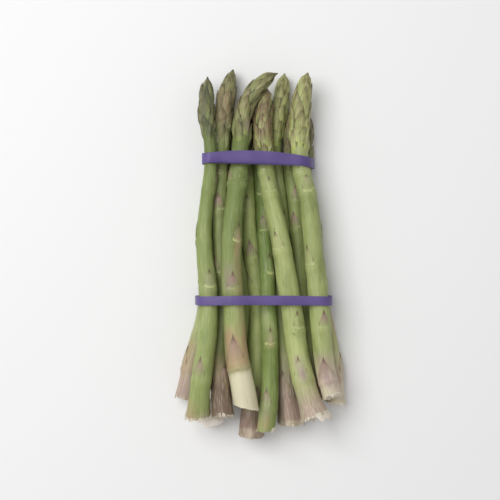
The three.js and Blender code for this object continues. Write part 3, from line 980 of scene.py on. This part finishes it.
def makeRubber():
    material, tree, shader = newMaterial("bandRubber")
    place = addNode(tree, "ShaderNodeTexCoord", {}).outputs["Object"]
    inputs = {"Vector": place, "Scale": rubber["cloudsPerMetre"], "Detail": 3}
    broad = addNode(tree, "ShaderNodeTexNoise", inputs).outputs[0]
    inputs = {"Vector": place, "Scale": rubber["grainPerMetre"], "Detail": 2}
    fine = addNode(tree, "ShaderNodeTexNoise", inputs).outputs[0]
    colour = mix(tree, fade(tree, broad, 0.35, 0.65), rubber["dark"], rubber["light"])
    colour = mix(tree, fade(tree, fine, 0.55, 0.8, 0.3), colour, rubber["dust"])
    tree.links.new(colour, shader.inputs["Base Color"])
    shader.inputs["Roughness"].default_value = rubber["roughness"]
    addBump(tree, shader, fine, rubber["bump"])
    return material


materials = {
    "stemSkin": makeStemSkin(),
    "stemLeaf": makeStemLeaf(),
    "headLeaf": makeHeadLeaf(),
    "cutFlesh": makeCutFlesh(),
    "bandRubber": makeRubber(),
}
print("materials", len(materials))


# the spears; y is in millimetres along the bundle, angles in degrees, 0 faces up and 90 to the right
# tone: how light the skin is by the butt and by the head, and how fresh a green it has
# flesh: how far up the butt is pale, how brown it is there (the brown partly painted shade, on butts
# that lie in shadow), how pink
# head: its length in millimetres. headTone: how brown, how dark, how bright
# cut: its slope and the way it faces. flare, rounded and ragged: the butt's edge, in millimetres
# leaves and budScales: y of the foot, the way it faces, size
# presses: from which y to which y it fills out towards a neighbour, and the way that this faces
# stains: the kind (0 tan, 1 mauve, 2 pale), y, the way it faces, its length, its spread, how strong
# shreds: how many, the way they face, their spread, their size

planShift = (1.46, -0.66)  # millimetres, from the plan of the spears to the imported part
spearLooks = {
    "spear_01": {
        "head": 36, "cut": (8, 90), "flare": 0.4,
        "tone": (0.6, 0.4, 0.1), "flesh": (0.26, 0.55, 0.5), "headTone": (0.5, 0.4, 0.1),
        "leaves": [(-72, -70, 1), (-50, 120, 1), (-16, -100, 1), (8, 30, 1), (32, 170, 1)],
        "stains": [(0, -66, -50, 12, 70, 0.4), (1, -84, -20, 6, 60, 0.15)],
    },
    "spear_02": {
        "head": 38, "cut": (20, -60), "rounded": 5,
        "tone": (0.5, 0.4, 0.1), "flesh": (0.2, 0.0, 0.6), "headTone": (0.4, 0.4, 0.2),
        "leaves": [(-90, 228, 1), (-58, 7, 1), (-14, 145, 1), (6, 283, 1), (32, 60, 1)],
        # its pale stain is strong enough to turn near-white at the bulb: partly the bulb's own
        # whiteness, partly painted light against the shade of its neighbours
        "stains": [(2, -106, 0, 14, 300, 1.5)], "shreds": [(6, 0, 180, 0.5)],
        "presses": [(-60, 10, 90)],
    },
    "spear_03": {
        "head": 38, "cut": (10, 120), "flare": 0.5,
        "tone": (0.5, 0.5, 0.2), "flesh": (0.2, 0.6, 0.5), "headTone": (0.5, 0.3, 0.1),
        "leaves": [(-75, 180, 1), (-46, 318, 1), (-14, 95, 1), (15.7, -25, 1), (33, 25, 1)],
        "presses": [(4, 62, -90)],
    },
    "spear_04": {
        "head": 38, "cut": (12, 60), "flare": 0.4,
        "tone": (0.8, 0.6, 0.1), "flesh": (0.24, 0.2, 0.6), "headTone": (0.5, 0.3, 0.1),
        "leaves": [(-76, 75, 1), (-50, 215, 1), (-14, -10, 1), (12, 128, 1), (35, 265, 1)],
        "stains": [(0, -45, 60, 9, 60, 0.8), (2, -88, 40, 8, 90, 0.6)],
    },
    "spear_05": {
        "head": 46, "cut": (16, 20), "flare": 0.6,
        # its head tone is as bright as it goes: partly its own bright green, partly painted light on
        # a head that lies lower, in the shade of its neighbours; its brown butt is partly painted
        # shade
        "tone": (0.45, 0.4, 0.2), "flesh": (0.26, 0.85, 0.6), "headTone": (0.0, 0.0, 1.0),
        "leaves": [(-86, -20, 1), (-50, 118, 1), (-14, 255, 1), (16, 32, 1), (40, 170, 1)],
        "stains": [(2, -106, 0, 3, 120, 0.5)], "shreds": [(20, 0, 180, 0.9)],
        "presses": [(4, 62, 90)],
        "budScales": [(85, -25, 0.8), (83, 30, 0.8), (77, 0, 1), (75, -60, 0.9), (72, 35, 1),
                      (67.5, -15, 1.1), (64.5, -60, 1)],
    },
    "spear_06": {
        "head": 48, "cut": (10, 180), "flare": 0.6,
        # its fully brown butt is partly painted shade, for a butt that lies in shadow
        "tone": (0.2, 0.2, 0.0), "flesh": (0.24, 1.0, 0.1), "headTone": (0.2, 0.35, 0.1),
        "leaves": [(-81, 35, 1), (-50, 172, 1), (-12, 310, 1), (12, 88, 1), (27, -15, 1),
                   (42, 225, 1), (50.5, -10, 0.9)],
        "stains": [(0, -75, 20, 10, 80, 0.4), (0, 91, 0, 12, 110, 0.9)],
        "budScales": [(79, 45, 0.9), (69.5, 0, 1)],
    },
    "spear_07": {
        "head": 40, "cut": (14, 0), "flare": 0.3,
        # its light skin tone is partly its own and partly painted light, lifting a stem that lies in
        # the shade of its neighbours; its brown butt is partly painted shade
        "tone": (0.8, 1.0, 0.3), "flesh": (0.2, 1.0, 0.4), "headTone": (0.5, 0.4, 0.2),
        "leaves": [(-94, 15, 1), (-58, 152, 1), (-20, 290, 1), (-3, -5, 1), (26.6, 0, 1),
                   (48, 12, 0.9)],
        "stains": [(1, -112, 0, 5, 120, 0.1), (2, -112, 0, 4, 120, 0.3)],
        "shreds": [(14, 0, 180, 0.6)], "presses": [(-60, 16, -90), (-2, 62, 90)],
    },
    "spear_08": {
        "head": 42, "cut": (26, -30), "ragged": 0.9,
        "tone": (0.3, 0.05, 0.5), "flesh": (0.02, 0.5, 0.3), "headTone": (0.5, 0.4, 0.3),
        "leaves": [(-95, -22, 1), (-56.5, 5, 1), (-13.5, 20, 1), (13, -10, 1), (24, 170, 1),
                   (37, -15, 1)],
        "stains": [(0, -104, -45, 7, 60, 0.8), (1, -96, -22, 6, 35, 0.5), (0, -52, 8, 6, 30, 0.5)],
        "shreds": [(8, 60, 40, 1.4), (8, 0, 180, 0.8)], "presses": [(-2, 62, -90)],
    },
    "spear_09": {
        "head": 37, "cut": (12, -60), "flare": 0.8,
        "tone": (0.55, 0.3, 0.3), "flesh": (0.06, 0.6, 0.4), "headTone": (0.25, 0.75, 0.1),
        "leaves": [(-77, -22, 1), (-50, 178, 1), (-21, 20, 1), (8, 250, 1), (40, 100, 1)],
        "stains": [(0, -96, -50, 8, 45, 0.5), (1, -18, 30, 7, 50, 0.35)],
        "shreds": [(26, -40, 90, 1.1)],
    },
    "spear_10": {
        "head": 47, "cut": (14, 180), "ragged": 0.8,
        "tone": (0.7, 0.55, 0.2), "flesh": (0.19, 0.15, 1.0), "headTone": (0.15, 0.0, 0.9),
        "leaves": [(-78, -5, 1.25), (-46, 22, 1), (-20, 120, 1), (-7.6, -42, 1.1), (20, 150, 1),
                   (38, 20, 1), (51, -20, 1)],
        "stains": [(1, -80, 20, 5, 30, 0.9), (1, -70, -5, 9, 50, 0.3), (2, -86, 0, 4, 200, 0.5)],
        "shreds": [(22, 0, 180, 0.9)],
        "budScales": [(77.5, 45, 0.8), (76.5, -60, 0.9), (72.5, 20, 0.8), (69, -20, 1), (65, 45, 1),
                      (65, -40, 0.9)],
    },
    "spear_11": {
        "head": 45, "cut": (14, 200), "flare": 1.4, "ragged": 1.2,
        "tone": (1.0, 0.75, 0.2), "flesh": (0.16, 0.5, 0.6), "headTone": (1.0, 0.1, 0.7),
        "leaves": [(-77, -6, 1.15), (-47, 25, 1), (-16, 170, 1), (2.3, -25, 1), (20, 200, 1),
                   (37, 10, 1), (51.5, -25, 1)],
        "stains": [(1, -71, -6, 8, 26, 1.0), (2, -103, 60, 4, 80, 0.8)],
        "shreds": [(14, 60, 50, 2.4), (30, 0, 180, 1.1)],
        "budScales": [(81, 10, 1), (77, -15, 1.1), (70, -60, 1.1), (72, 50, 1.1), (65.5, 15, 1.3)],
    },
    "spear_12": {
        "head": 50, "cut": (24, 70), "ragged": 0.5,
        "tone": (0.75, 0.1, 0.25), "flesh": (0.17, 0.0, 0.3), "headTone": (0.15, 0.15, 0.2),
        "leaves": [(-69.5, -10, 1.5), (-46, 175, 1), (-21.5, 5, 1), (7.5, 38, 1), (28, 190, 1),
                   (44, -85, 1.4), (44, 85, 1.4), (52, 5, 1.2)],
        "stains": [(0, -58, -30, 13, 150, 1.2), (0, 6, 40, 9, 16, 0.6), (0, -28, 48, 34, 32, 0.5),
                   (1, -14, -20, 9, 40, 0.3), (2, -92, 0, 21, 300, 0.8), (1, 80, 45, 5, 30, 0.8)],
        "shreds": [(16, 0, 180, 0.5)],
        "budScales": [(80, -62, 1.25), (74.5, 38, 1.2), (84, 20, 1.1)],
    },
}
for number, (node, look) in enumerate(spearLooks.items(), 1):
    look["seed"] = number
    look["head"] *= mm
    makeSpear(node, look)
for leaf in leafSources.values():
    bpy.data.objects.remove(leaf)


# the two rubber bands: the CAD bands with softened edges

bandForm = {
    "merge": 0.005 * mm,
    "edge": 0.32 * mm,
    "edgeSegments": 3,
    "sharpFrom": 60,  # degrees
}


def makeBand(node):
    # a copy of the CAD band, without the marks that make it a CAD node
    source = frame["nodes"][node]
    band = source.copy()
    band.data = source.data.copy()
    band.parent = None
    bpy.context.scene.collection.objects.link(band)
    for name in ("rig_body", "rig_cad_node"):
        if name in band:
            del band[name]
    pick(band)
    bpy.ops.object.mode_set(mode="EDIT")
    bpy.ops.mesh.select_all(action="SELECT")
    bpy.ops.mesh.remove_doubles(threshold=bandForm["merge"])
    bpy.ops.mesh.dissolve_limited(angle_limit=math.radians(1))
    bpy.ops.object.mode_set(mode="OBJECT")
    width, segments = bandForm["edge"], bandForm["edgeSegments"]
    sharp = math.radians(bandForm["sharpFrom"])
    limits = {"limit_method": "ANGLE", "angle_limit": sharp}
    applyModifier(band, "BEVEL", width=width, segments=segments, **limits)
    bpy.ops.object.shade_smooth_by_angle(angle=math.radians(40))
    band.data.materials.clear()
    band.data.materials.append(materials["bandRubber"])
    band.name = node + "_rubber"
    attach(band, "root")
    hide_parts(node)
    print("band", node, len(band.data.polygons), "faces")


for node in ("band_lower", "band_upper"):
    makeBand(node)


# floor, light and camera

studio = {
    "floorSize": 6,
    "floorColour": "#f6f6f6",
    "floorRoughness": 0.8,
    "softboxPlace": (-0.6, 0.4, 1.2),
    "softboxTurn": (-18.4, -26.6, 0),  # degrees
    "softboxSize": 1.0,
    "softboxPower": 13.6,
    "sky": 0.44,
    "photoWidth": 500,  # pixels
    "photoPixel": 0.62 * mm,
    "photoCentre": (263, 254.5),  # the pixel that stands over the plan's middle
    "photoHeight": 20 * mm,  # the height at which a pixel has that size
    "lens": 100,
    "sensor": 36,
}

deselectAll()
bpy.ops.mesh.primitive_plane_add(size=studio["floorSize"])
floor = bpy.context.object
floor.name = "floor"
floorPaint, tree, shader = newMaterial("floorPaint")
shader.inputs["Base Color"].default_value = paint(studio["floorColour"])
shader.inputs["Roughness"].default_value = studio["floorRoughness"]
floor.data.materials.append(floorPaint)

softboxTurn = [math.radians(angle) for angle in studio["softboxTurn"]]
bpy.ops.object.light_add(type="AREA", location=studio["softboxPlace"], rotation=softboxTurn)
softbox = bpy.context.object
softbox.name = "softbox"
softbox.data.size = studio["softboxSize"]
softbox.data.energy = studio["softboxPower"]

world = bpy.data.worlds.new("studioSky")
bpy.context.scene.world = world
world.use_nodes = True
sky = world.node_tree.nodes["Background"]
sky.inputs["Color"].default_value = (1, 1, 1, 1)
sky.inputs["Strength"].default_value = studio["sky"]

# the camera looks straight down; the photo's pixels give its place
pixel, middle = studio["photoPixel"], studio["photoWidth"] / 2
distance = studio["photoWidth"] * pixel * studio["lens"] / studio["sensor"]
cameraPlace = (
    (middle - studio["photoCentre"][0]) * pixel + planShift[0] * mm,
    (studio["photoCentre"][1] - middle) * pixel + planShift[1] * mm,
    distance + studio["photoHeight"],
)
bpy.ops.object.camera_add(location=cameraPlace, rotation=(0, 0, 0))
camera = bpy.context.object
camera.data.lens = studio["lens"]
camera.data.sensor_width = studio["sensor"]
bpy.context.scene.camera = camera
bpy.context.scene.view_settings.view_transform = "Standard"
print("studio ready")
